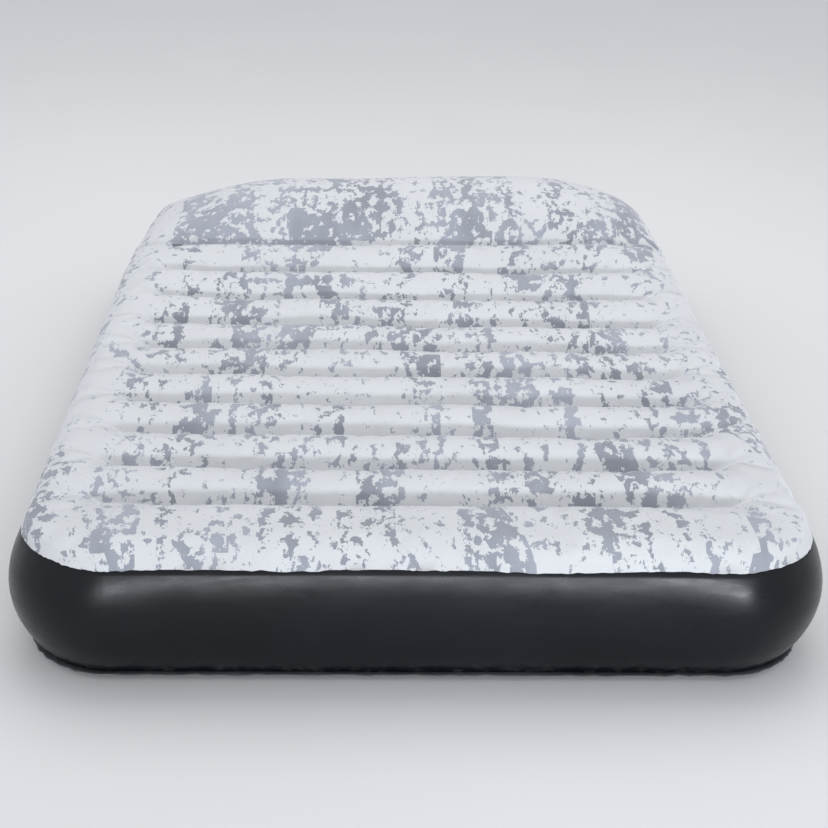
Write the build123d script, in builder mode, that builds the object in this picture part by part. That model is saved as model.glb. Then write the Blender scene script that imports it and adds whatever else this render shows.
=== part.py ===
"""Flocked inflatable air mattress with a built-in pillow, ten internal beam webs and a screw-in valve.

Frame: millimetres, +Z up, origin on the floor under the middle of the mattress.
X is the width, Y the length, with the foot at -Y and the pillow at +Y.
"""

import os
from math import cos, radians, sqrt

from build123d import *

os.makedirs("parts", exist_ok=True)

# Inflated outline
WIDTH = 1370.0
LENGTH = 1910.0
CORNER = 176.0
HALF_W = WIDTH / 2
HALF_L = LENGTH / 2

# Border section: (inset from the outline, height) of its turning points
SHEET = 1.5
FLOOR_EDGE = (75.0, 0.0)
LOW_WELD = (30.0, 13.0)
WIDEST_Z = 124.0
BAND_R = (LOW_WELD[0] ** 2 + (WIDEST_Z - LOW_WELD[1]) ** 2) / (2 * LOW_WELD[0])
TOP_WELD_Z = 218.0
TOP_WELD = (BAND_R - sqrt(BAND_R**2 - (TOP_WELD_Z - WIDEST_Z) ** 2), TOP_WELD_Z)
BORDER_CREST = (71.0, 248.0)
BORDER_INNER = (150.0, 202.0)
WELD_MARGIN = 10.0
CORE_INSET = 88.0
CORE_SHOULDER = 198.0

# Transverse beams
SEAMS = 10
FIRST_SEAM = 218.0
PITCH = 135.0
BEAM_DEPTH = 32.0
CREST = BORDER_CREST[1]
VALLEY = CREST - BEAM_DEPTH
RAMP = {8: 15.0, 9: 31.0, 10: 54.0}
SEAM_Y = [-HALF_L + FIRST_SEAM + PITCH * i for i in range(SEAMS)]
SEAM_Z = [VALLEY + RAMP.get(i + 1, 0.0) for i in range(SEAMS)]

# Pillow chamber at the head
PILLOW_TOP_Y = 710.0
PILLOW_TOP = 360.0
PILLOW_FLAT = 400.0
PILLOW_SHOULDER = 368.0
PILLOW_TAPER = 26.0

# Beam webs
WEB_SHEET = 1.2
WEB_END = 120.0
WEB_MARGIN = 14.0

# Valve on the side band near the head: radii, and heights above the band along the valve's axis
VALVE_Y = 600.0
VALVE = Plane(origin=(HALF_W, VALVE_Y, WIDEST_Z), x_dir=(0, 1, 0), z_dir=(1, 0, 0))
GAP = 0.3
PATCH_R = 50.0
FLANGE_R = 45.0
FLANGE_T = 1.5
THROAT_OUT_R = 28.0
THROAT_R = 25.0
THROAT_IN = -22.0
THROAT_RIM = 3.0
TURN_LIFT = 4.0

# Leash ring round the shank, with its eye round the post of the base
LEASH_T = 1.6
LEASH_R = 30.0
LEASH_EYE_R = 6.2
LEASH_STRAP = 8.0
LEASH_SLACK = 0.5
LEASH_Z = THROAT_RIM + GAP
POST_AT = 36.5
POST_R = 2.5
POST_HEAD_R = 4.0
POST_HEAD_T = 1.5
POST_TOP = LEASH_Z + LEASH_T + TURN_LIFT + GAP

# Screw-in insert with the inflation port
RIM_Z = LEASH_Z + LEASH_T + GAP
RIM_R = 31.0
RIM_T = 2.6
RIM_TOP = RIM_Z + RIM_T
RIM_RIB_R = 28.0
RIM_RIB = 0.8
RIM_GRIPS = 24
GRIP_R = 1.4
SHANK_R = 24.4
SHANK_WALL = 3.0
SHANK_IN = -16.0
PORT_R = 11.0
PORT_WALL = 2.0
PORT_IN = -12.0
PORT_COUNTER_R = 12.0
PORT_COUNTER = 3.0
SEAL_R = 1.0
SEAL_Z = 1.0
SEAL_PITCH_R = THROAT_R - GAP - SEAL_R

# Non-return flap, hinged at its top edge
FLAP_R = 12.4
FLAP_T = 1.0
FLAP_TAB = 5.0
FLAP_AXIS = 14.6
FLAP_KNUCKLE_R = 1.1
FLAP_PIN_R = 0.7
FLAP_LUG_T = 1.8
FLAP_LUG_R = 1.6
FLAP_LUG_SPAN = (FLAP_TAB / 2 + GAP, FLAP_TAB / 2 + GAP + FLAP_LUG_T)
FLAP_Z = PORT_IN - GAP
FLAP_AXIS_Z = FLAP_Z - FLAP_T / 2

# Flip cap, hinged at its top edge
CAP_R = 15.0
CAP_T = 2.5
CAP_Z = RIM_TOP + GAP
CAP_ROUND = 0.8
CAP_DISH_R = 10.0
CAP_DISH = 0.6
CAP_PLUG_R = 11.5
CAP_PLUG = 2.6
CAP_PLUG_CHAMFER = 0.6
CAP_AXIS = 19.5
CAP_TAB = 10.0
CAP_TAB_OUT = 4.0
KNUCKLE_R = 1.9
TRUNNION_R = 1.2
TRUNNION_GAP = 0.06
EAR = 6.0
CAP_LUG_T = 2.5
CAP_LUG_SPAN = (EAR / 2 + GAP, EAR / 2 + GAP + CAP_LUG_T)
CAP_EAR_SPACE = KNUCKLE_R + GAP
CAP_AXIS_Z = RIM_TOP + CAP_EAR_SPACE


def border_point(place):
    """A point of the border section on the +X side."""
    return (HALF_W - place[0], place[1])


def border(inset):
    """The rounded border tube all the way round, with its section drawn in by the inset."""
    side, end = HALF_L - CORNER, HALF_W - CORNER
    with BuildLine() as outline:
        run = Line((HALF_W, -side), (HALF_W, side))
        for half_run in (end, side, end):
            bend = JernArc(run @ 1, run % 1, CORNER, 90)
            run = Line(bend @ 1, bend @ 1 + 2 * half_run * (bend % 1))
        JernArc(run @ 1, run % 1, CORNER, 90)
    with BuildPart() as ring:
        with BuildSketch(Plane.XZ.offset(side)) as section:
            with BuildLine():
                inner_foot = border_point((BORDER_INNER[0], 0))
                Line(inner_foot, border_point(FLOOR_EDGE))
                TangentArc(border_point(FLOOR_EDGE), border_point(LOW_WELD), tangent=(1, 0))
                ThreePointArc(border_point(LOW_WELD), border_point((0, WIDEST_Z)), border_point(TOP_WELD))
                TangentArc(border_point(BORDER_CREST), border_point(TOP_WELD), tangent=(1, 0))
                TangentArc(border_point(BORDER_CREST), border_point(BORDER_INNER), tangent=(-1, 0))
                Line(border_point(BORDER_INNER), inner_foot)
            make_face()
            if inset:
                offset(amount=-inset, mode=Mode.REPLACE)
        sweep(path=outline.wire())
    return ring.part


def long_section(inset):
    """The lengthwise section of the beams and the pillow, drawn in by the inset."""
    foot, head = -HALF_L, HALF_L
    with BuildSketch(Plane.YZ) as section:
        with BuildLine():
            Polyline(
                (foot + CORE_INSET, 0),
                (foot + CORE_INSET, CORE_SHOULDER),
                (foot + BORDER_CREST[0], CREST),
                (SEAM_Y[0] - PITCH / 2, CREST),
            )
            TangentArc((SEAM_Y[0] - PITCH / 2, CREST), (SEAM_Y[0], VALLEY), tangent=(1, 0))
            for i in range(SEAMS - 1):
                SagittaArc((SEAM_Y[i], SEAM_Z[i]), (SEAM_Y[i + 1], SEAM_Z[i + 1]), BEAM_DEPTH)
            top = (PILLOW_TOP_Y, PILLOW_TOP)
            TangentArc(top, (SEAM_Y[-1], SEAM_Z[-1]), tangent=(-1, 0))
            TangentArc(top, (head - TOP_WELD[0], TOP_WELD[1]), tangent=(1, 0))
            Polyline(
                (head - TOP_WELD[0], TOP_WELD[1]),
                (head - CORE_INSET, TOP_WELD[1]),
                (head - CORE_INSET, 0),
                (foot + CORE_INSET, 0),
            )
        make_face()
        if inset:
            offset(amount=-inset, mode=Mode.REPLACE)
    return section.sketch


def cross_section(inset):
    """The widthwise limit of the beams and the pillow, drawn in by the inset."""
    core, crest = HALF_W - CORE_INSET, HALF_W - BORDER_CREST[0]
    with BuildSketch(Plane.XZ) as section:
        with BuildLine():
            Polyline((0, 0), (core, 0), (core, CORE_SHOULDER), (crest, CREST))
            TangentArc((PILLOW_FLAT, PILLOW_SHOULDER), (crest, CREST), tangent=(1, 0))
            Polyline((PILLOW_FLAT, PILLOW_SHOULDER), (0, PILLOW_SHOULDER), (0, 0))
        make_face()
        mirror(about=Plane.YZ)
        if inset:
            offset(amount=-inset, mode=Mode.REPLACE)
    return section.sketch


def outline_face(inset):
    """The plan outline as a face, drawn in by the inset."""
    with BuildSketch() as face:
        RectangleRounded(WIDTH - 2 * inset, LENGTH - 2 * inset, CORNER - inset)
    return face.sketch


def plan_limit(inset):
    """Where the beams and the pillow may stand in plan: the pillow leans in above the top weld."""
    lean = TOP_WELD[0] + inset / cos(radians(PILLOW_TAPER))
    split_plane = Plane.XZ.offset(-SEAM_Y[-1])
    with BuildPart() as beams:
        extrude(outline_face(BORDER_CREST[0] + inset), amount=PILLOW_SHOULDER)
        split(bisect_by=split_plane, keep=Keep.TOP)
    with BuildPart() as pillow:
        extrude(outline_face(lean), amount=TOP_WELD_Z)
        pillow_foot = Plane.XY.offset(TOP_WELD_Z) * outline_face(lean)
        extrude(pillow_foot, amount=PILLOW_SHOULDER - TOP_WELD_Z, taper=PILLOW_TAPER)
        split(bisect_by=split_plane, keep=Keep.BOTTOM)
    with BuildPart() as limit:
        add(beams.part)
        add(pillow.part)
        split(bisect_by=Plane.XY.offset(CORE_SHOULDER), keep=Keep.TOP)
        extrude(outline_face(CORE_INSET + inset), amount=CORE_SHOULDER)
    return limit.part


def air_body(inset):
    """The inflated volume: border, beams and pillow, drawn in by the inset."""
    ring = border(inset)
    section = long_section(inset)
    limit = cross_section(inset)
    plan = plan_limit(inset)
    with BuildPart() as body:
        extrude(section, amount=HALF_W, both=True)
        extrude(limit, amount=HALF_L, both=True, mode=Mode.INTERSECT)
        add(plan, mode=Mode.INTERSECT)
        add(ring)
    return body.part


def valve_disc(radius):
    """A disc across the valve's axis, deep enough to cut through the side band."""
    with BuildPart() as disc:
        with BuildSketch(VALVE):
            Circle(radius)
        extrude(amount=radius, both=True)
    return disc.part


def band_layer(low, high, radius):
    """A disc that follows the bulge of the side band, between two heights above the band."""
    axis = Plane(origin=(HALF_W - BAND_R, VALVE_Y, WIDEST_Z), z_dir=(0, 1, 0))
    with BuildPart() as layer:
        with BuildSketch(axis):
            Circle(BAND_R + high)
            Circle(BAND_R + low, mode=Mode.SUBTRACT)
        extrude(amount=radius, both=True)
        add(valve_disc(radius), mode=Mode.INTERSECT)
    return layer.part


# The inflated volume, the air inside the skin, and the air inside the web margins
outer = air_body(0)
cavity = air_body(SHEET)
web_void = air_body(SHEET + WEB_SHEET)

# The skin with its weld margins, before it is cut into its three sheets
with BuildPart() as skin:
    add(outer)
    with BuildSketch(Plane.XY.offset(LOW_WELD[1] - SHEET)):
        add(outline_face(LOW_WELD[0] - WELD_MARGIN))
    extrude(amount=2 * SHEET)
    add(cavity, mode=Mode.SUBTRACT)

with BuildPart() as band_zone:
    with BuildSketch(Plane.XY.offset(LOW_WELD[1])):
        Rectangle(2 * WIDTH, 2 * LENGTH)
        add(outline_face(BORDER_CREST[0]), mode=Mode.SUBTRACT)
    extrude(amount=TOP_WELD[1] - LOW_WELD[1])

with BuildPart() as base_sheet:
    add(skin.part)
    split(bisect_by=Plane.XY.offset(LOW_WELD[1]), keep=Keep.BOTTOM)

with BuildPart() as side_band:
    add(skin.part)
    add(band_zone.part, mode=Mode.INTERSECT)
    add(valve_disc(THROAT_OUT_R), mode=Mode.SUBTRACT)

with BuildPart() as top_sheet:
    add(skin.part)
    split(bisect_by=Plane.XY.offset(LOW_WELD[1]), keep=Keep.TOP)
    add(band_zone.part, mode=Mode.SUBTRACT)

sheets = {"base_sheet": base_sheet, "side_band": side_band, "top_sheet": top_sheet}
for name, sheet in sheets.items():
    sheet.part.label = name
    export_step(sheet.part, f"parts/{name}.step")

# Beam webs: an upright strip under each seam, with a margin welded to the base and to the top sheet
with BuildPart() as lining:
    add(cavity)
    add(web_void, mode=Mode.SUBTRACT)

for i in range(SEAMS):
    with BuildPart() as margin:
        with Locations((0, SEAM_Y[i] + WEB_MARGIN / 2, 0)):
            Box(WIDTH - 2 * WEB_END, WEB_MARGIN, 2 * PILLOW_TOP)
        add(lining.part, mode=Mode.INTERSECT)
    with BuildPart() as beam_web:
        with Locations((0, SEAM_Y[i], 0)):
            Box(WIDTH - 2 * WEB_END, WEB_SHEET, 2 * PILLOW_TOP)
        add(cavity, mode=Mode.INTERSECT)
        add(margin.part)
    beam_web.part.label = f"beam_web_{i + 1:02d}"
    export_step(beam_web.part, f"parts/{beam_web.part.label}.step")


# Valve. Its plane has X along the mattress, Y up and Z out of the side band.
VALVE_AXIS = Axis(VALVE.origin, VALVE.z_dir)
VALVE_SECTION = Plane(origin=VALVE.origin, x_dir=(0, 1, 0), z_dir=(0, 0, -1))


def valve_level(height):
    """The valve's plane at a height above the band."""
    return VALVE.offset(height)


def turned(inner, outer_r, low, high, mode=Mode.ADD):
    """A ring turned about the valve's axis, between two radii and two heights."""
    with BuildSketch(VALVE_SECTION) as section:
        with Locations(((inner + outer_r) / 2, (low + high) / 2)):
            Rectangle(outer_r - inner, high - low)
    revolve(section.sketch, axis=VALVE_AXIS, mode=mode)


def bar_across(up, height, radius, half_length, mode=Mode.ADD):
    """A round bar lying lengthwise across the valve, at a place up its face and a height."""
    centre = VALVE.from_local_coords((0, up, height))
    with BuildSketch(Plane(origin=centre, z_dir=(0, 1, 0))) as section:
        Circle(radius)
    extrude(section.sketch, amount=half_length, both=True, mode=mode)


def block(low, high, mode=Mode.ADD):
    """A block between two opposite corners in the valve's frame."""
    size = [b - a for a, b in zip(low, high)]
    with BuildSketch(valve_level(low[2])) as footprint:
        with Locations(((low[0] + high[0]) / 2, (low[1] + high[1]) / 2)):
            Rectangle(size[0], size[1])
    extrude(footprint.sketch, amount=size[2], mode=mode)


with BuildPart() as valve_patch:
    add(band_layer(-2 * SHEET, -SHEET, PATCH_R))
    add(valve_disc(THROAT_OUT_R), mode=Mode.SUBTRACT)

with BuildPart() as valve_base:
    add(band_layer(0, FLANGE_T, FLANGE_R))
    turned(0, THROAT_OUT_R, THROAT_IN, THROAT_RIM)
    add(valve_disc(THROAT_R), mode=Mode.SUBTRACT)
    with BuildSketch(valve_level(0)):
        with Locations((-POST_AT, 0)):
            Circle(POST_R)
    extrude(amount=POST_TOP)
    with BuildSketch(valve_level(POST_TOP)):
        with Locations((-POST_AT, 0)):
            Circle(POST_HEAD_R)
    extrude(amount=POST_HEAD_T)

with BuildPart() as valve_leash:
    with BuildSketch(valve_level(LEASH_Z)):
        Circle(LEASH_R)
        with Locations((-POST_AT / 2, 0)):
            Rectangle(POST_AT, LEASH_STRAP)
        with Locations((-POST_AT, 0)):
            Circle(LEASH_EYE_R)
            Circle(POST_R + LEASH_SLACK, mode=Mode.SUBTRACT)
        Circle(SHANK_R + LEASH_SLACK, mode=Mode.SUBTRACT)
    extrude(amount=LEASH_T)

with BuildPart() as valve_insert:
    turned(PORT_R, RIM_R, RIM_Z, RIM_TOP)
    turned(SHANK_R - SHANK_WALL, SHANK_R, SHANK_IN, RIM_Z)
    turned(PORT_R, PORT_R + PORT_WALL, PORT_IN, RIM_Z)
    turned(RIM_RIB_R - RIM_RIB, RIM_RIB_R, RIM_TOP, RIM_TOP + RIM_RIB)
    turned(0, PORT_COUNTER_R, RIM_TOP - PORT_COUNTER, RIM_TOP, Mode.SUBTRACT)
    turned(SEAL_PITCH_R - SEAL_R, SHANK_R, SEAL_Z - SEAL_R, SEAL_Z + SEAL_R, Mode.SUBTRACT)
    with BuildSketch(valve_level(RIM_Z)):
        with PolarLocations(RIM_R, RIM_GRIPS):
            Circle(GRIP_R)
    extrude(amount=RIM_T, mode=Mode.SUBTRACT)
    for low_x, high_x in (CAP_LUG_SPAN, (-CAP_LUG_SPAN[1], -CAP_LUG_SPAN[0])):
        block((low_x, CAP_AXIS - KNUCKLE_R, RIM_Z), (high_x, CAP_AXIS + KNUCKLE_R, CAP_AXIS_Z))
    for low_x, high_x in (FLAP_LUG_SPAN, (-FLAP_LUG_SPAN[1], -FLAP_LUG_SPAN[0])):
        block((low_x, PORT_R + GAP, PORT_IN), (high_x, FLAP_AXIS + FLAP_LUG_R, PORT_IN + FLAP_LUG_T))
        block(
            (low_x, FLAP_AXIS - FLAP_LUG_R, FLAP_AXIS_Z - FLAP_LUG_R),
            (high_x, FLAP_AXIS + FLAP_LUG_R, PORT_IN),
        )
    bar_across(CAP_AXIS, CAP_AXIS_Z, KNUCKLE_R, CAP_LUG_SPAN[1])
    block(
        (-EAR / 2 - GAP, CAP_AXIS - CAP_EAR_SPACE, RIM_TOP),
        (EAR / 2 + GAP, CAP_AXIS + CAP_EAR_SPACE, CAP_AXIS_Z + CAP_EAR_SPACE),
        Mode.SUBTRACT,
    )
    bar_across(CAP_AXIS, CAP_AXIS_Z, TRUNNION_R + TRUNNION_GAP, 2 * EAR, Mode.SUBTRACT)
    bar_across(FLAP_AXIS, FLAP_AXIS_Z, FLAP_PIN_R + TRUNNION_GAP, 2 * EAR, Mode.SUBTRACT)

with BuildPart() as valve_seal:
    with BuildSketch(VALVE_SECTION):
        with Locations((SEAL_PITCH_R, SEAL_Z)):
            Circle(SEAL_R)
    revolve(axis=VALVE_AXIS)

with BuildPart() as valve_flap:
    turned(0, FLAP_R, FLAP_Z - FLAP_T, FLAP_Z)
    block((-FLAP_TAB / 2, 0, FLAP_Z - FLAP_T), (FLAP_TAB / 2, FLAP_AXIS, FLAP_Z))
    bar_across(FLAP_AXIS, FLAP_AXIS_Z, FLAP_KNUCKLE_R, FLAP_TAB / 2)
    bar_across(FLAP_AXIS, FLAP_AXIS_Z, FLAP_PIN_R, FLAP_LUG_SPAN[1])

with BuildPart() as valve_cap:
    turned(0, CAP_R, CAP_Z, CAP_Z + CAP_T)
    fillet(valve_cap.faces().sort_by(VALVE_AXIS)[-1].edges(), CAP_ROUND)
    turned(0, CAP_DISH_R, CAP_Z + CAP_T - CAP_DISH, CAP_Z + CAP_T, Mode.SUBTRACT)
    turned(0, CAP_PLUG_R, CAP_Z - CAP_PLUG, CAP_Z)
    chamfer(valve_cap.faces().sort_by(VALVE_AXIS)[0].edges(), CAP_PLUG_CHAMFER)
    block((-EAR / 2, 0, CAP_Z), (EAR / 2, CAP_AXIS, CAP_Z + CAP_T))
    block((-CAP_TAB / 2, -CAP_R - CAP_TAB_OUT, CAP_Z + GAP), (CAP_TAB / 2, 0, CAP_Z + CAP_T - GAP))
    bar_across(CAP_AXIS, CAP_AXIS_Z, KNUCKLE_R, EAR / 2)
    bar_across(CAP_AXIS, CAP_AXIS_Z, TRUNNION_R, CAP_LUG_SPAN[1])

valve = {
    "valve_patch": valve_patch,
    "valve_base": valve_base,
    "valve_leash": valve_leash,
    "valve_insert": valve_insert,
    "valve_seal": valve_seal,
    "valve_flap": valve_flap,
    "valve_cap": valve_cap,
}
for name, piece in valve.items():
    piece.part.label = name
    export_step(piece.part, f"parts/{name}.step")
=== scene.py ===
"""Flocked air mattress with a raised pillow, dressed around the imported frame.

Metres, +Z up, foot of the bed at -Y, valve side at +X. Insets are measured inwards from the plan outline.
"""
from math import pi, radians, sqrt

import bpy
import numpy as np
from mathutils import Matrix, Vector


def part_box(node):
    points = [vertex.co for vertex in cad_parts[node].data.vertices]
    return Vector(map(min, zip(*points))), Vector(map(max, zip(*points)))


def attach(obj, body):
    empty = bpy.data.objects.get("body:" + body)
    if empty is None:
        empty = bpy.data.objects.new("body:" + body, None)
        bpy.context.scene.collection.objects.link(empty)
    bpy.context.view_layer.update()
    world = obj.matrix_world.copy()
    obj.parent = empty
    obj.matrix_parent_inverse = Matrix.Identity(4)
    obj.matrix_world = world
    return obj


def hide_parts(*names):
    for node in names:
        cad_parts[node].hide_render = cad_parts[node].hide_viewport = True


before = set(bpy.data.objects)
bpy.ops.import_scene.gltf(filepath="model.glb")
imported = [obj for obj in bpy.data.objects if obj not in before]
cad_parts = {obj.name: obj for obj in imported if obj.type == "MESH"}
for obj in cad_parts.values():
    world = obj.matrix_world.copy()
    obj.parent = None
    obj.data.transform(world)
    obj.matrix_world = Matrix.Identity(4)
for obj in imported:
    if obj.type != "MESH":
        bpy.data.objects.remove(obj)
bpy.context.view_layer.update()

# Outline and border section. A name that ends in IN is an inset, and one that ends in Z is a height.
HALF_W, HALF_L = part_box("side_band")[1][:2]
CORNER = 0.176
LOW_WELD_IN, LOW_WELD_Z = 0.030, 0.013
FLOOR_IN = 0.075
FLANGE_IN = 0.020
WIDEST_Z = 0.124
BAND_R = (LOW_WELD_IN**2 + (WIDEST_Z - LOW_WELD_Z) ** 2) / (2 * LOW_WELD_IN)
WELD_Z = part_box("side_band")[1][2]
WELD_IN = BAND_R - sqrt(BAND_R**2 - (WELD_Z - WIDEST_Z) ** 2)
CREST_IN, CREST_Z = 0.071, 0.248
BORDER_IN = 0.150

# Beams and pillow. RAMP is how much higher than the rest the last three seams stand.
SEAMS = 10
PITCH = 0.135
DEPTH = 0.032
FIRST_SEAM = 0.218
WEB_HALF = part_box("beam_web_01")[1][0]
SEAM_Y = [-HALF_L + FIRST_SEAM + PITCH * i for i in range(SEAMS)]
RAMP = {7: 0.015, 8: 0.031, 9: 0.054}
SEAM_Z = [CREST_Z - DEPTH + RAMP.get(i, 0.0) for i in range(SEAMS)]
PILLOW_Y, PILLOW_Z = 0.710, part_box("top_sheet")[1][2]

# Pillow shoulders, and how far it leans: higher to the right, shifted right, drawn in at the left
HEAD_ROLL = HALF_L - PILLOW_Y
SIDE_ROLL, SIDE_BOW, SIDE_EASE = 0.410, 1.60, 0.15
CORNER_ROLL, CORNER_BLEND = 0.190, 6
PILLOW_LEAN, PILLOW_SKEW = 0.0367, 0.079
HEAD_DRIFT = 0.020

# Depths of the cover's unevenness, how blunt its seam valleys are, and how much blunter towards their ends
CREASE, PUCKER, SAG, RIM_WRINKLE = 0.0022, 0.0007, 0.0013, 0.0011
VALLEY_BLUNT, END_BLUNT = 0.0015, 0.035

# Side band: the swell, its extra bulge near the corners, the gathers at both welds and the tuck under the lip
SWELL, CORNER_BULGE, CORNER_REACH = 0.0014, 0.0115, 0.30
GATHER, TUCK = 0.0006, 0.0026

# Valve
VALVE_Y, VALVE_Z = 0.600, WIDEST_Z
VALVE_HOLE, VALVE_FLANGE = 0.030, 0.045
FINE_REACH = 0.075

# Sheet thickness
COVER_T, BAND_T, WEB_T = 0.0012, 0.0010, 0.0006

# Mesh steps
COVER_STEP_X, COVER_STEP_Y, BORDER_LINES = 0.0085, 0.0075, 19
BAND_STEP, BAND_FINE_STEP, BAND_LEVELS = 0.012, 0.004, 45
BASE_STEP_X, BASE_STEP_Y = 0.020, 0.009
WEB_COLUMNS, WEB_LEVELS = 140, 14


def smooth(low, high, value):
    """0 below low, 1 above high, and an S-curve between them."""
    t = np.clip((value - low) / (high - low), 0.0, 1.0)
    return t * t * (3 - 2 * t)


def ripple(x, y, size, seed, waves=7):
    """Smooth random unevenness of about one unit, with features of a given size."""
    rng = np.random.default_rng(seed)
    total = np.zeros(np.broadcast(x, y).shape)
    for _ in range(waves):
        turn, phase = rng.uniform(0, 2 * pi, 2)
        k = 2 * pi / (size * rng.uniform(0.7, 1.6))
        total += np.sin(k * (x * np.cos(turn) + y * np.sin(turn)) + phase)
    return total / sqrt(waves / 2)


def arc_drop(run, drop, along):
    """How far a round shoulder has dropped, at a distance along its run from the level top."""
    radius = (run * run + drop * drop) / (2 * drop)
    return radius - np.sqrt(np.maximum(radius * radius - along * along, 0.0))


# Plan: a square-cornered grid laid into the rounded outline
def round_plan(gx, gy):
    """Grid places to plan places. Returns x, y, the inset and the outward direction."""
    ax, ay = np.abs(gx), np.abs(gy)
    inset = np.minimum(HALF_W - ax, HALF_L - ay)
    bend = np.maximum(CORNER - inset, 0.0)
    cx, cy = HALF_W - inset - bend, HALF_L - inset - bend
    safe = np.maximum(bend, 1e-9)
    side = HALF_W - ax <= HALF_L - ay
    past = np.where(side, np.clip(ay - cy, 0, None), np.clip(ax - cx, 0, None))
    turn = pi / 4 * np.clip(past / safe, 0, 1) * (bend > 0)
    nx = np.where(side, np.cos(turn), np.sin(turn))
    ny = np.where(side, np.sin(turn), np.cos(turn))
    x = np.where(side, cx + bend * nx, np.where(past > 0, cx + bend * nx, ax))
    y = np.where(side, np.where(past > 0, cy + bend * ny, ay), cy + bend * ny)
    return np.sign(gx) * x, np.sign(gy) * y, inset, np.sign(gx) * nx, np.sign(gy) * ny


def band_inset(z):
    """Inset of the side band at a height."""
    return BAND_R - np.sqrt(BAND_R**2 - (z - WIDEST_Z) ** 2)


def head_drift(x, y):
    """How far the left side draws in towards the head."""
    return HEAD_DRIFT * smooth(0.35, 0.85, y) * smooth(0.20, 0.60, -x)


def crest_height(y):
    """Height of the envelope over the beams and the pillow."""
    places = [SEAM_Y[6]] + SEAM_Y[7:]
    levels = [CREST_Z] + [z + DEPTH for z in SEAM_Z[7:]]
    rise = np.interp(y, places, levels)
    run, drop = PILLOW_Y - SEAM_Y[-1], PILLOW_Z - levels[-1]
    front = PILLOW_Z - arc_drop(run, drop, np.clip(PILLOW_Y - y, 0, run))
    return np.where(y > SEAM_Y[-1], front, rise)


def beam_section(y, blunt):
    """Height of the beams along the bed. The seams' valleys are rounded off by blunt."""
    z = np.full(y.shape, CREST_Z)
    bow = ((PITCH / 2) ** 2 + DEPTH**2) / (2 * DEPTH)
    for i in range(-1, SEAMS):
        y0 = SEAM_Y[i] if i >= 0 else SEAM_Y[0] - PITCH
        y1 = SEAM_Y[i + 1] if i + 1 < SEAMS else PILLOW_Y
        near = np.minimum(y - y0, y1 - y) if i + 1 < SEAMS else y - y0
        near = np.sqrt(near**2 + blunt**2)
        here = (y >= y0) & (y <= y1)
        if i == SEAMS - 1:
            run, drop = y1 - y0, PILLOW_Z - SEAM_Z[-1]
            rise = PILLOW_Z - arc_drop(run, drop, np.clip(run - near, 0, run))
        else:
            base = SEAM_Z[max(i, 0)] + (SEAM_Z[i + 1] - SEAM_Z[max(i, 0)]) * np.clip((y - y0) / PITCH, 0, 1)
            off = np.clip(PITCH / 2 - near, 0, PITCH / 2)
            rise = base + DEPTH - (bow - np.sqrt(bow * bow - off * off))
        if i < 0:
            here &= y >= SEAM_Y[0] - PITCH / 2
        z = np.where(here, rise, z)
    return np.where(y > PILLOW_Y, PILLOW_Z, z)


def seam_distance(y):
    """Distance along the bed to the nearest seam."""
    return np.min([np.abs(y - place) for place in SEAM_Y], axis=0)


def seam_end_creases(x, y):
    """Creases that fan out from the ends of the seams towards the border."""
    total = np.zeros(x.shape)
    for i, place in enumerate(SEAM_Y):
        for side in (-1, 1):
            rng = np.random.default_rng(40 + 2 * i + (side > 0))
            out, along = side * x - WEB_HALF, y - place
            far = np.hypot(out, along)
            fan = np.arctan2(along, out + 0.012)
            wave = np.cos(rng.uniform(6, 9) * fan + rng.uniform(-0.6, 0.6))
            total += wave * np.exp(-far / 0.065) * smooth(0.004, 0.03, far) * smooth(-0.04, 0.01, out)
    return total


def shoulder(inset, roll, bow, ease=0.0):
    """Share of the full height at an inset: 0 at the weld, 1 from the roll inwards.

    A bow of 2 is an ellipse. The ease rounds off the place where the roll meets the level top.
    """
    t = np.clip((roll - inset) / (roll - WELD_IN), 0, 1)
    t = (np.sqrt(t * t + ease * ease) - ease) / (np.sqrt(1 + ease * ease) - ease)
    return np.maximum(1 - t**bow, 0.0) ** (1 / bow)


def cover_height(x, y, inset, corner):
    """Height of the flocked cover at rest. The corner is 0 beside the straight runs and 1 round the bends."""
    crest = crest_height(y)
    lift = (crest - CREST_Z) / (PILLOW_Z - CREST_Z)
    from_side = HALF_W - np.abs(x)
    from_end = HALF_L - np.abs(y)
    side_bow = 2 + lift * (SIDE_BOW - 2)
    side = shoulder(from_side, CREST_IN + lift * (SIDE_ROLL - CREST_IN), side_bow, SIDE_EASE * lift)
    end = shoulder(from_end, CREST_IN + lift * (HEAD_ROLL - CREST_IN), 2.0)
    rim = np.maximum(shoulder(inset, CREST_IN + lift * (CORNER_ROLL - CREST_IN), 2.0), 1e-4)
    share = side * end
    share = share * (1 + corner * (share / rim) ** CORNER_BLEND) ** (-1 / CORNER_BLEND)
    blunt = VALLEY_BLUNT + END_BLUNT * (1 - smooth(0.095, 0.145, from_side))
    dip = crest - beam_section(y, blunt)
    depth = 0.78 * smooth(0.055, 0.145, from_side) + 0.22 * smooth(0.12, 0.32, from_side)
    depth *= smooth(0.03, 0.11, inset)
    z = WELD_Z + (crest + PILLOW_LEAN * x * lift - WELD_Z) * share - depth * dip
    seam = seam_distance(y)
    inner = smooth(0.10, 0.14, from_side)
    z += CREASE * seam_end_creases(x, y) * smooth(WELD_IN, WELD_IN + 0.03, inset)
    z += PUCKER * ripple(x, 0.25 * y, 0.030, 3) * np.exp(-seam / 0.016) * inner * smooth(0.001, 0.006, seam)
    z += SAG * ripple(x, y, 0.28, 4) * smooth(0.03, 0.09, inset) * smooth(0.0, 0.03, seam)
    z += RIM_WRINKLE * ripple(x, y, 0.060, 5) * np.exp(-(inset - WELD_IN) / 0.030)
    return z


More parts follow.
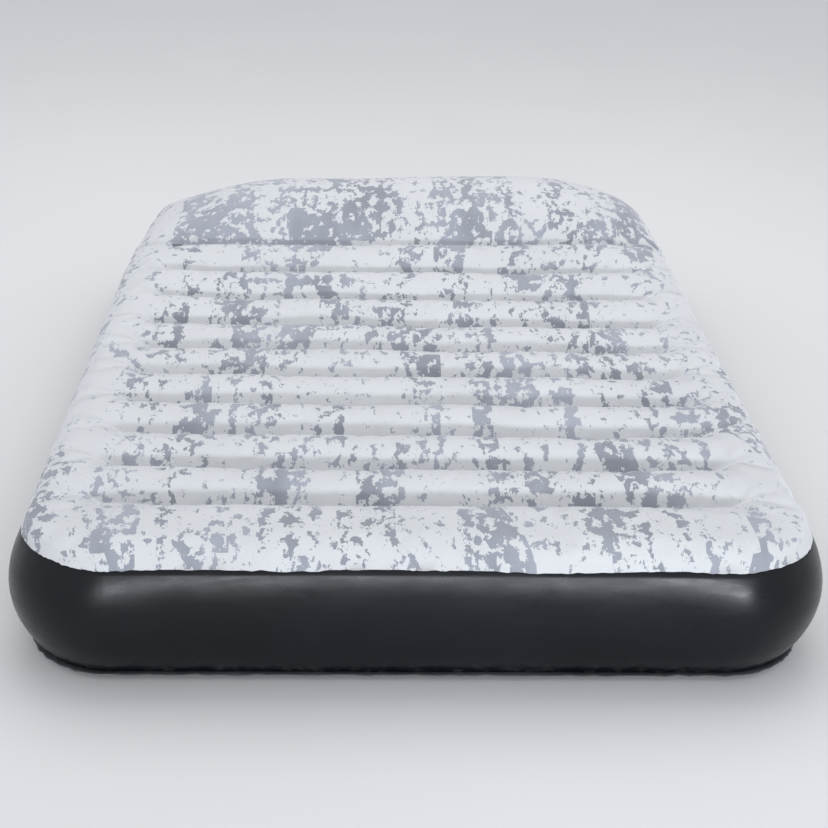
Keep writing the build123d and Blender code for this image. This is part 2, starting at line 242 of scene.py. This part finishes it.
def spaced(start, stop, step, ends):
    """Places from start to stop, drawn together towards both ends."""
    count = max(3, round((stop - start) / step))
    t = np.linspace(0, 1, count + 1)
    return start + (stop - start) * (t - ends * np.sin(2 * pi * t) / (2 * pi))


# The two rows of the cover's lip: how far they hang below the weld, and how far outside the band they are
# in the grid and in the end
LIP = (0.0030, 0.0015)
LIP_START, LIP_OFF = 0.0010, 0.0014


def grid_lines(half, stops, step):
    """Grid places across the cover: lip, border, then the stretches between the stops."""
    border = np.linspace(WELD_IN, BORDER_IN, BORDER_LINES)
    lip = [float(band_inset(WELD_Z - down)) - LIP_START for down in LIP]
    rim = np.concatenate([lip, border])
    inner = [spaced(a, b, step, 0.6) for a, b in zip(stops[:-1], stops[1:])]
    inner = np.unique(np.round(np.concatenate(inner), 6))[1:-1]
    return np.concatenate([-half + rim, inner, (half - rim)[::-1]])


def grid_faces(rows, columns):
    """Quads of a grid whose vertices run along the columns first."""
    index = np.arange(rows * columns).reshape(rows, columns)
    corners = index[:-1, :-1], index[:-1, 1:], index[1:, 1:], index[1:, :-1]
    return np.stack([c.ravel() for c in corners], axis=1)


def new_piece(name, verts, faces, material, body="root"):
    """A smooth mesh piece that rides on a body."""
    mesh = bpy.data.meshes.new(name)
    mesh.from_pydata(np.asarray(verts).tolist(), [], np.asarray(faces).tolist())
    mesh.update()
    mesh.shade_smooth()
    piece = bpy.data.objects.new(name, mesh)
    bpy.context.collection.objects.link(piece)
    piece.data.materials.append(material)
    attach(piece, body)
    return piece


def thicken(piece, thickness):
    """Gives a sheet its thickness, inwards from the outer face."""
    solid = piece.modifiers.new("sheet", "SOLIDIFY")
    solid.thickness = thickness
    solid.offset = -1.0
    solid.use_even_offset = False


def point_values(piece, name, kind, values):
    """Stores one value per vertex for the materials to read."""
    layer = piece.data.attributes.new(name, kind, "POINT")
    key = "vector" if kind == "FLOAT_VECTOR" else "value"
    layer.data.foreach_set(key, np.ascontiguousarray(values, dtype=np.float32).ravel())


# Node helpers
class Shader:
    """A material's nodes, made and joined in one call each."""

    def __init__(self, name):
        self.material = bpy.data.materials.new(name)
        self.material.use_nodes = True
        self.tree = self.material.node_tree
        self.surface = self.tree.nodes["Principled BSDF"]

    def node(self, kind, inputs=(), **settings):
        made = self.tree.nodes.new(kind)
        for key, value in settings.items():
            setattr(made, key, value)
        for key, value in dict(inputs).items():
            self.feed(made.inputs[key], value)
        return made

    def feed(self, socket, value):
        if isinstance(value, bpy.types.NodeSocket):
            self.tree.links.new(value, socket)
        else:
            socket.default_value = value

    def math(self, operation, *values):
        made = self.node("ShaderNodeMath", operation=operation)
        for socket, value in zip(made.inputs, values):
            self.feed(socket, value)
        return made.outputs[0]

    def stretch(self, source, scale, offset=(0, 0, 0)):
        made = self.node("ShaderNodeMapping", {"Vector": source, "Scale": scale, "Location": offset})
        return made.outputs[0]

    def noise(self, source, scale, detail=2.0, roughness=0.5, distortion=0.0):
        inputs = {"Vector": source, "Scale": scale, "Detail": detail}
        inputs.update({"Roughness": roughness, "Distortion": distortion})
        return self.node("ShaderNodeTexNoise", inputs).outputs[0]

    def ramp(self, value, low, high, to_low=0.0, to_high=1.0):
        """An S-curve from one value to another between low and high."""
        inputs = {"Value": value, "From Min": low, "From Max": high, "To Min": to_low, "To Max": to_high}
        return self.node("ShaderNodeMapRange", inputs, interpolation_type="SMOOTHSTEP").outputs[0]

    def mix(self, factor, first, second):
        """Blends two colours."""
        made = self.node("ShaderNodeMix", data_type="RGBA")
        self.feed(made.inputs[0], factor)
        self.feed(made.inputs[6], first)
        self.feed(made.inputs[7], second)
        return made.outputs[2]

    def bump(self, layers):
        """Stacks bumps, each a height and its depth in metres."""
        normal = None
        for height, distance in layers:
            made = self.node("ShaderNodeBump", {"Height": height, "Distance": distance})
            if normal is not None:
                self.feed(made.inputs["Normal"], normal)
            normal = made.outputs[0]
        self.set(Normal=normal)

    def set(self, **sockets):
        for key, value in sockets.items():
            self.feed(self.surface.inputs[key.replace("_", " ")], value)


def places(shader):
    """Object coordinates, which are metres in the shared frame."""
    return shader.node("ShaderNodeTexCoord").outputs["Object"]


# Print: where the worn sum turns into a patch, where flecks may start, and the colours. The print thins out
# at the side borders as a painted sheen. Each seam carries a lighter line that is partly the pressed weld and
# partly a painted highlight.
PATCH_EDGE = (1.574, 1.586)
FLECK_EDGE, FLECK_ZONE = (0.612, 0.626), (1.40, 1.50)
PILLOW_INK, BORDER_SHEEN_FADE = 0.105, -0.075
GROUND = (0.50, 0.51, 0.52, 1), (0.58, 0.59, 0.60, 1)
PRINT = (0.155, 0.168, 0.205, 1), (0.275, 0.288, 0.345, 1)
FIBRE_TIP, SEAM_WELD_HIGHLIGHT = (0.72, 0.73, 0.74, 1), (0.74, 0.75, 0.77, 1)


def flocked_print():
    """Light grey flock with a worn blue-grey print in upright ragged blocks."""
    s = Shader("flocked_print")
    flat = s.node("ShaderNodeAttribute", attribute_name="flat").outputs["Vector"]
    seam = s.node("ShaderNodeAttribute", attribute_name="seam").outputs["Fac"]
    ragged = s.noise(s.stretch(flat, (1.0, 0.66, 1.0)), 48.0, 4.0, 0.62)
    torn = s.noise(s.stretch(flat, (1.0, 0.5, 1.0), (3.1, 7.7, 0)), 15.0, 3.0, 0.55)
    upright = s.noise(s.stretch(flat, (12.0, 1.6, 1.0), (1.7, 0.4, 0)), 1.0, 1.0, 0.5)
    cell = s.node(
        "ShaderNodeTexVoronoi",
        {"Vector": s.stretch(flat, (15.0, 4.5, 1.0), (0.3, 0.9, 0)), "Scale": 1.0, "Randomness": 0.8},
        distance="CHEBYCHEV",
    ).outputs["Color"]
    block = s.node("ShaderNodeSeparateColor", {"Color": cell}).outputs[0]
    sum_a = s.math("MULTIPLY_ADD", ragged, 1.60, s.math("MULTIPLY", torn, 0.50))
    sum_b = s.math("MULTIPLY_ADD", upright, 0.56, s.math("MULTIPLY", block, 0.30))
    split = s.node("ShaderNodeSeparateXYZ", {"Vector": flat}).outputs
    dense = s.ramp(split[1], 1.47, 1.62, 0.0, PILLOW_INK)
    # Thinner print towards the side borders: a painted sheen that stands in for the flock washing out at
    # grazing angles.
    border_sheen = s.ramp(s.math("ABSOLUTE", split[0]), 0.46, 0.66, 0.0, BORDER_SHEEN_FADE)
    worn = s.math("ADD", s.math("ADD", sum_a, sum_b), s.math("ADD", dense, border_sheen))
    patches = s.ramp(worn, *PATCH_EDGE)
    fleck_noise = s.noise(s.stretch(flat, (1.0, 0.6, 1.0), (9.2, 2.6, 0)), 125.0, 3.0, 0.6)
    flecks = s.math("MULTIPLY", s.ramp(fleck_noise, *FLECK_EDGE), s.ramp(worn, *FLECK_ZONE))
    ink = s.math("MAXIMUM", patches, flecks)
    cloudy = s.noise(flat, 5.0, 2.0)
    fibre = s.noise(flat, 900.0, 2.0, 0.7)
    ground = s.mix(cloudy, *GROUND)
    tone = s.ramp(s.noise(s.stretch(flat, (6.0, 2.0, 1.0), (5.3, 1.1, 0)), 1.0, 3.0, 0.6), 0.34, 0.66)
    print_colour = s.mix(tone, *PRINT)
    colour = s.mix(s.math("MULTIPLY", ink, 0.90), ground, print_colour)
    colour = s.mix(s.ramp(fibre, 0.3, 0.7, 0.0, 0.16), colour, FIBRE_TIP)
    # A lighter line along each seam: partly the pressed weld's flattened flock, partly a painted highlight
    # that also lightens the shade in the valleys.
    colour = s.mix(s.math("MULTIPLY", seam, 0.55), colour, SEAM_WELD_HIGHLIGHT)
    s.set(Base_Color=colour, Roughness=0.92)
    s.set(Sheen_Weight=0.48, Sheen_Roughness=0.36, Sheen_Tint=(0.95, 0.96, 1.0, 1.0))
    s.set(Specular_IOR_Level=0.20)
    crinkle = s.noise(flat, 46.0, 3.0, 0.55, 0.4)
    s.bump([(crinkle, 0.0011), (s.noise(flat, 420.0, 2.0, 0.6), 0.00035), (fibre, 0.00025)])
    return s.material


def satin_vinyl(name, colour, lighter, rough):
    """Calendered vinyl: satin, with a fine grain, soft handling marks and faint dust low down."""
    s = Shader(name)
    at = places(s)
    height = s.node("ShaderNodeSeparateXYZ", {"Vector": at}).outputs[2]
    cloud = s.noise(at, 4.0, 3.0, 0.55)
    smear = s.noise(s.stretch(at, (1.0, 1.0, 5.0)), 9.0, 4.0, 0.6, 0.6)
    tone = s.mix(s.ramp(cloud, 0.3, 0.7), colour, lighter)
    dust = s.math("MULTIPLY", s.ramp(height, 0.045, 0.005), s.ramp(s.noise(at, 60.0, 4.0), 0.45, 0.75))
    tone = s.mix(s.math("MULTIPLY", dust, 0.22), tone, (0.16, 0.155, 0.15, 1))
    s.set(Base_Color=tone, Roughness=s.ramp(smear, 0.25, 0.75, rough - 0.05, rough + 0.07))
    s.set(Specular_IOR_Level=0.25)
    grain = s.node("ShaderNodeTexVoronoi", {"Vector": at, "Scale": 1100.0}).outputs["Distance"]
    s.bump([(s.noise(at, 14.0, 2.0, 0.5), 0.0006), (grain, 0.00004)])
    return s.material


def moulded_plastic(name, colour, rough, milky=0.0):
    """Moulded plastic with spark-eroded grain, slight tone drift and rubbed edges. Milky lets light in."""
    s = Shader(name)
    at = places(s)
    edge = s.node("ShaderNodeNewGeometry").outputs["Pointiness"]
    darker = tuple(c * 0.86 for c in colour[:3]) + (1,)
    rubbed = tuple(min(c * 1.5 + 0.03, 1) for c in colour[:3]) + (1,)
    tone = s.mix(s.ramp(s.noise(at, 60.0, 3.0), 0.3, 0.7), colour, darker)
    tone = s.mix(s.ramp(edge, 0.52, 0.60, 0.0, 0.35), tone, rubbed)
    s.set(Base_Color=tone, Roughness=s.ramp(s.noise(at, 240.0, 3.0), 0.3, 0.7, rough - 0.06, rough + 0.08))
    s.set(Specular_IOR_Level=0.5, Subsurface_Weight=milky)
    s.bump([(s.noise(at, 2600.0, 2.0, 0.6), 0.00006)])
    return s.material


def black_rubber():
    """Matt seal rubber with a faint bloom."""
    s = Shader("seal_rubber")
    at = places(s)
    bloom = s.ramp(s.noise(at, 220.0, 4.0, 0.6), 0.45, 0.8, 0.0, 0.25)
    s.set(Base_Color=s.mix(bloom, (0.016, 0.016, 0.017, 1), (0.07, 0.07, 0.07, 1)), Roughness=0.78)
    s.bump([(s.noise(at, 1800.0, 2.0), 0.00005)])
    return s.material


# Frames of the air pass, and the most that it may move a point
AIR_STEPS, AIR_CAP = 14, 0.0045


def settle(piece, held):
    """Lets a sheet wrinkle under air pressure with its welds held, and keeps each point near its place."""
    group = piece.vertex_groups.new(name="held")
    group.add(np.flatnonzero(held).tolist(), 1.0, "REPLACE")
    rest = np.empty(len(piece.data.vertices) * 3)
    piece.data.vertices.foreach_get("co", rest)
    air = piece.modifiers.new("air", "CLOTH")
    air.settings.quality = 4
    air.settings.mass = 0.25
    air.settings.tension_stiffness = 18
    air.settings.compression_stiffness = 12
    air.settings.shear_stiffness = 4
    air.settings.bending_stiffness = 0.4
    air.settings.shrink_min = -0.012
    air.settings.use_pressure = True
    air.settings.uniform_pressure_force = 3.0
    air.settings.vertex_group_mass = group.name
    air.settings.effector_weights.gravity = 0.0
    air.collision_settings.use_collision = False
    air.point_cache.frame_end = AIR_STEPS
    for step in range(1, AIR_STEPS + 1):
        bpy.context.scene.frame_set(step)
    settled = np.empty_like(rest)
    piece.evaluated_get(bpy.context.evaluated_depsgraph_get()).data.vertices.foreach_get("co", settled)
    piece.modifiers.remove(air)
    piece.vertex_groups.remove(group)
    bpy.context.scene.frame_set(1)
    move = (settled - rest).reshape(-1, 3)
    far = np.maximum(np.linalg.norm(move, axis=1, keepdims=True), 1e-9)
    move *= AIR_CAP * np.tanh(far / AIR_CAP) / far
    piece.data.vertices.foreach_set("co", rest + move.ravel())
    piece.data.update()


def make_cover(material):
    """The flocked top sheet: beams, pillow, border and the lip that laps over the side band."""
    columns = grid_lines(HALF_W, [-HALF_W + BORDER_IN, 0.0, HALF_W - BORDER_IN], COVER_STEP_X)
    rows = grid_lines(HALF_L, [-HALF_L + BORDER_IN] + SEAM_Y + [HALF_L - BORDER_IN], COVER_STEP_Y)
    gx, gy = np.meshgrid(columns, rows)
    x, y, inset, nx, ny = round_plan(gx, gy)
    corner = smooth(0.0, 0.35, 2 * np.minimum(np.abs(nx), np.abs(ny)))
    z = cover_height(x, y, inset, corner)
    x = x + PILLOW_SKEW * np.clip(z - CREST_Z, 0, None)
    lip = inset < WELD_IN - 1e-6
    lower_row = inset < band_inset(WELD_Z - LIP[1]) - LIP_START - 1e-4
    down = np.where(lower_row, LIP[0], LIP[1])
    # The lip's edge is uneven, and it sags a little near the middle of the foot.
    wave = 0.0011 * ripple(x, y, 0.16, 6) + 0.0006 * ripple(x, y, 0.035, 7) + 0.0004 * ripple(x, y, 0.012, 8)
    wave = wave + 0.0022 * np.exp(-(((x + 0.06) / 0.09) ** 2)) * (y < 0)
    lip_z = np.minimum(WELD_Z - down + wave * down / LIP[0], WELD_Z - 0.1 * down)
    slide = inset - band_inset(lip_z) + LIP_OFF
    x = np.where(lip, x + nx * slide, x)
    y = np.where(lip, y + ny * slide, y)
    z = np.where(lip, lip_z, z)
    verts = np.stack([x + head_drift(x, y), y, z], axis=2)
    cover = new_piece(
        "flocked_cover", verts.reshape(-1, 3), grid_faces(len(rows), len(columns)), material
    )
    across = np.cumsum(np.linalg.norm(np.diff(verts, axis=1, prepend=verts[:, :1]), axis=2), axis=1)
    along = np.cumsum(np.linalg.norm(np.diff(verts, axis=0, prepend=verts[:1]), axis=2), axis=0)
    across -= across[:, len(columns) // 2][:, None]
    middle = along[:, len(columns) // 2][:, None] * np.ones_like(along)
    flat = np.stack([across, middle, np.zeros_like(across)], axis=2)
    point_values(cover, "flat", "FLOAT_VECTOR", flat.reshape(-1, 3))
    # Seam mask for the material: a pressed weld line that also carries a painted highlight.
    line = np.exp(-((seam_distance(y) / 0.0022) ** 2))
    line *= 1 - smooth(WEB_HALF - 0.01, WEB_HALF + 0.03, np.abs(x))
    point_values(cover, "seam", "FLOAT", line.reshape(-1))
    welded = (inset < WELD_IN + 1e-6) | ((seam_distance(y) < 0.001) & (np.abs(x) < WEB_HALF))
    settle(cover, welded.reshape(-1))
    thicken(cover, COVER_T)
    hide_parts("top_sheet")


def outline_places(step, fine_step):
    """Places round the outline at no inset: point, outward direction. Finer beside the valve.

    They start at the foot end of the valve side and go round by the head.
    """
    side, end = HALF_L - CORNER, HALF_W - CORNER
    runs = [
        [(HALF_W, v, 1, 0) for v in np.arange(-side, VALVE_Y - FINE_REACH, step)],
        [(HALF_W, v, 1, 0) for v in np.arange(VALVE_Y - FINE_REACH, VALVE_Y + FINE_REACH, fine_step)],
        [(HALF_W, v, 1, 0) for v in np.arange(VALVE_Y + FINE_REACH, side, step)],
    ]
    corners = [(end, side, 0), (-end, side, 1), (-end, -side, 2), (end, -side, 3)]
    straights = [(-1, 0, end), (0, -1, side), (1, 0, end)]
    for index, (cx, cy, quarter) in enumerate(corners):
        turns = quarter * pi / 2 + np.arange(0, pi / 2, step / CORNER)
        runs.append([(cx + CORNER * np.cos(t), cy + CORNER * np.sin(t), np.cos(t), np.sin(t)) for t in turns])
        if index < len(straights):
            dx, dy, half = straights[index]
            nx, ny = np.cos((quarter + 1) * pi / 2), np.sin((quarter + 1) * pi / 2)
            start = np.array([cx + CORNER * nx, cy + CORNER * ny])
            runs.append([(*(start + s * np.array([dx, dy])), nx, ny) for s in np.arange(0, 2 * half, step)])
    return np.array([place for run in runs for place in run])


def make_band(material):
    """The satin side band, tucked under the cover's lip, with a hole behind the valve's flange."""
    ring = outline_places(BAND_STEP, BAND_FINE_STEP)
    levels = np.linspace(LOW_WELD_Z, WELD_Z + 0.0012, BAND_LEVELS)
    px, py, nx, ny = (ring[:, i][None, :] for i in range(4))
    z = levels[:, None] * np.ones_like(px)
    near_side = np.clip(1 - (HALF_W - np.abs(px)) / CORNER_REACH, 0, 1)
    near_end = np.clip(1 - (HALF_L - np.abs(py)) / CORNER_REACH, 0, 1)
    near_corner = smooth(0.0, 0.70, near_side * near_end)
    middle = np.sin(pi * (z - LOW_WELD_Z) / (WELD_Z - LOW_WELD_Z))
    from_valve = np.hypot(py - VALVE_Y, z - VALVE_Z) + 10 * (px < 0)
    calm = smooth(VALVE_FLANGE + 0.003, VALVE_FLANGE + 0.05, from_valve)
    swell = SWELL * ripple(px, py, 0.42, 11) * middle + CORNER_BULGE * near_corner * middle
    gather = GATHER * ripple(px, py, 0.038, 12) * np.exp(-(z - LOW_WELD_Z) / 0.022)
    gather = gather + GATHER * ripple(px, py, 0.050, 13) * np.exp(-(WELD_Z - z) / 0.018)
    tucked = smooth(WELD_Z - 0.008, WELD_Z - 0.002, z)
    gather = gather * (1 - tucked)
    pressed = 0.0004 * (1 - calm) + 0.0003 + TUCK * tucked
    out = calm * (swell + gather) - pressed - band_inset(z)
    x, y = px + nx * out, py + ny * out
    verts = np.stack([x + head_drift(x, y), y, z], axis=2)
    rows, columns = z.shape
    faces = grid_faces(rows, columns)
    index = np.arange(rows * columns).reshape(rows, columns)
    closing = np.stack([index[:-1, -1], index[:-1, 0], index[1:, 0], index[1:, -1]], axis=1)
    faces = np.concatenate([faces, closing])
    keep = (from_valve.reshape(-1)[faces] > VALVE_HOLE).all(axis=1)
    used, compact = np.unique(faces[keep], return_inverse=True)
    faces = compact.reshape(-1, 4)
    band = new_piece("side_band_skin", verts.reshape(-1, 3)[used], faces, material)
    thicken(band, BAND_T)
    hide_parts("side_band")


def make_base(material):
    """The underside, with the beams' weld lines and the ragged weld flange round the edge."""
    rim = np.concatenate([np.linspace(FLANGE_IN, LOW_WELD_IN, 4), np.linspace(LOW_WELD_IN, FLOOR_IN, 9)[1:]])
    across = spaced(-HALF_W + FLOOR_IN, HALF_W - FLOOR_IN, BASE_STEP_X, 0.0)[1:-1]
    stops = [-HALF_L + FLOOR_IN] + SEAM_Y + [HALF_L - FLOOR_IN]
    along = np.concatenate([spaced(a, b, BASE_STEP_Y, 0.7) for a, b in zip(stops, stops[1:])])
    along = np.unique(np.round(along, 6))
    columns = np.concatenate([-HALF_W + rim, across, (HALF_W - rim)[::-1]])
    rows = np.concatenate([-HALF_L + rim, along[1:-1], (HALF_L - rim)[::-1]])
    gx, gy = np.meshgrid(columns, rows)
    x, y, inset, nx, ny = round_plan(gx, gy)
    z = arc_drop(FLOOR_IN - LOW_WELD_IN, LOW_WELD_Z, np.clip(FLOOR_IN - inset, 0, FLOOR_IN - LOW_WELD_IN))
    flange = 1 - smooth(FLANGE_IN, LOW_WELD_IN, inset)
    z = z + flange * 0.0005 * ripple(x, y, 0.070, 21)
    ragged = flange * (0.0009 * ripple(x, y, 0.040, 22) + 0.0004 * ripple(x, y, 0.012, 23))
    groove = 0.0016 * np.exp(-((seam_distance(y) / 0.004) ** 2))
    groove *= 1 - smooth(WEB_HALF - 0.02, WEB_HALF, np.abs(x))
    x, y = x + nx * ragged, y + ny * ragged
    verts = np.stack([x + head_drift(x, y), y, z + groove], axis=2)
    faces = grid_faces(len(rows), len(columns))[:, ::-1]
    base = new_piece("base_skin", verts.reshape(-1, 3), faces, material)
    thicken(base, BAND_T)
    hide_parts("base_sheet")


def make_web(number, material):
    """One beam web: an upright strip between two weld margins, drawn into fine tension folds."""
    place, top = SEAM_Y[number], SEAM_Z[number] - 0.004
    bottom, margin = 0.005, 0.012
    across = np.linspace(-WEB_HALF, WEB_HALF, WEB_COLUMNS)
    section = [(margin, bottom), (0.002, bottom)]
    section += [(0.0, h) for h in np.linspace(bottom + 0.002, top - 0.002, WEB_LEVELS)]
    section += [(0.002, top), (margin, top + 0.0015)]
    out, up = (np.array(v)[:, None] for v in zip(*section))
    upright = np.sin(pi * np.clip((up - bottom) / (top - bottom), 0, 1))
    fold = 0.0011 * ripple(across, 0 * across, 0.07, 60 + number)[None, :] * upright
    sheet = np.broadcast_arrays(across[None, :], place + out + fold, up + 0 * across[None, :])
    verts = np.stack(sheet, axis=2)
    faces = grid_faces(len(section), len(across))
    web = new_piece(f"beam_web_skin_{number + 1:02d}", verts.reshape(-1, 3), faces, material)
    thicken(web, WEB_T)
    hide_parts(f"beam_web_{number + 1:02d}")


def dress_valve(materials):
    """Gives the valve's own solids their moulded finishes."""
    for node, material in materials.items():
        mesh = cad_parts[node].data
        mesh.materials.clear()
        mesh.materials.append(material)


CAMERA_AT = (-0.1216, -2.9945, 1.4705)
CAMERA_PITCH, CAMERA_YAW, CAMERA_ROLL = radians(25.357), radians(2.721), radians(1.734)
CAMERA_LENS, CAMERA_SENSOR = 65.2, 36.0


def make_camera():
    """The camera stands off the foot of the bed, a little left of its middle, looking down."""
    pitch, yaw, roll = CAMERA_PITCH, CAMERA_YAW, CAMERA_ROLL
    ahead = Vector((np.sin(yaw) * np.cos(pitch), np.cos(yaw) * np.cos(pitch), -np.sin(pitch)))
    level = Vector((np.cos(yaw), -np.sin(yaw), 0))
    above = level.cross(ahead)
    right = level * np.cos(roll) + above * np.sin(roll)
    up = above * np.cos(roll) - level * np.sin(roll)
    data = bpy.data.cameras.new("camera")
    data.lens = CAMERA_LENS
    data.sensor_width = CAMERA_SENSOR
    camera = bpy.data.objects.new("camera", data)
    turn = Matrix((right, up, -ahead)).transposed()
    camera.matrix_world = Matrix.Translation(CAMERA_AT) @ turn.to_4x4()
    bpy.context.collection.objects.link(camera)
    bpy.context.scene.camera = camera


COOL = (0.90, 0.95, 1.0)
FLOOR_TONES = (0.64, 0.64, 0.64, 1), (0.67, 0.67, 0.67, 1)
SURROUND, SURROUND_STRENGTH = (0.93, 0.95, 1.0, 1), 0.85


def add_light(name, at, towards, size, watts, colour=(1, 1, 1), spread=pi):
    """A soft rectangular studio light. A narrow spread keeps it off the floor behind the bed."""
    data = bpy.data.lights.new(name, "AREA")
    data.shape = "RECTANGLE"
    data.size, data.size_y = size
    data.energy = watts
    data.color = colour
    data.spread = spread
    lamp = bpy.data.objects.new(name, data)
    lamp.location = at
    lamp.rotation_mode = "QUATERNION"
    lamp.rotation_quaternion = (Vector(towards) - Vector(at)).to_track_quat("-Z", "Y")
    lamp.visible_camera = False
    bpy.context.collection.objects.link(lamp)


def make_studio():
    """A plain pale floor, soft lights and a bright surround."""
    s = Shader("studio_floor")
    at = places(s)
    s.set(Base_Color=s.mix(s.noise(at, 1.5, 2.0), *FLOOR_TONES), Roughness=0.8)
    s.bump([(s.noise(at, 300.0, 2.0), 0.0001)])
    bpy.ops.mesh.primitive_plane_add(size=60, location=(0, 0, -0.0005))
    floor = bpy.context.object
    floor.name = "studio_floor"
    floor.data.materials.append(s.material)
    world = bpy.context.scene.world or bpy.data.worlds.new("studio")
    bpy.context.scene.world = world
    world.use_nodes = True
    backdrop = world.node_tree.nodes["Background"]
    backdrop.inputs[0].default_value = SURROUND
    backdrop.inputs[1].default_value = SURROUND_STRENGTH
    add_light("key", (1.50, -4.4, 0.78), (0.5, -0.9, 0.18), (0.36, 0.36), 3.4, COOL, radians(50))
    add_light("overhead", (0, 1.0, 3.5), (0, 0.1, 0), (3.8, 2.8), 58)
    add_light("front_strip", (-0.12, -4.6, 0.86), (0, -0.9, 0.18), (2.3, 0.34), 11.0, COOL, radians(70))
    bpy.context.scene.view_settings.view_transform = "Standard"


make_camera()
make_studio()

flock = flocked_print()
band_vinyl = satin_vinyl("band_vinyl", (0.0022, 0.0032, 0.0050, 1), (0.0036, 0.0050, 0.0074, 1), 0.29)
base_vinyl = satin_vinyl("base_vinyl", (0.040, 0.043, 0.048, 1), (0.060, 0.064, 0.070, 1), 0.44)
web_vinyl = satin_vinyl("web_vinyl", (0.11, 0.12, 0.14, 1), (0.14, 0.15, 0.17, 1), 0.40)
valve_vinyl = moulded_plastic("valve_vinyl", (0.022, 0.025, 0.031, 1), 0.42)
valve_grey = moulded_plastic("valve_plastic", (0.40, 0.42, 0.44, 1), 0.36)
flap_vinyl = moulded_plastic("flap_vinyl", (0.60, 0.62, 0.62, 1), 0.30, 0.3)
rubber = black_rubber()

make_cover(flock)
make_band(band_vinyl)
make_base(base_vinyl)
for number in range(SEAMS):
    make_web(number, web_vinyl)
dress_valve(
    {
        "valve_patch": base_vinyl,
        "valve_base": valve_vinyl,
        "valve_leash": valve_vinyl,
        "valve_insert": valve_grey,
        "valve_seal": rubber,
        "valve_flap": flap_vinyl,
        "valve_cap": valve_grey,
    }
)

bpy.context.view_layer.update()
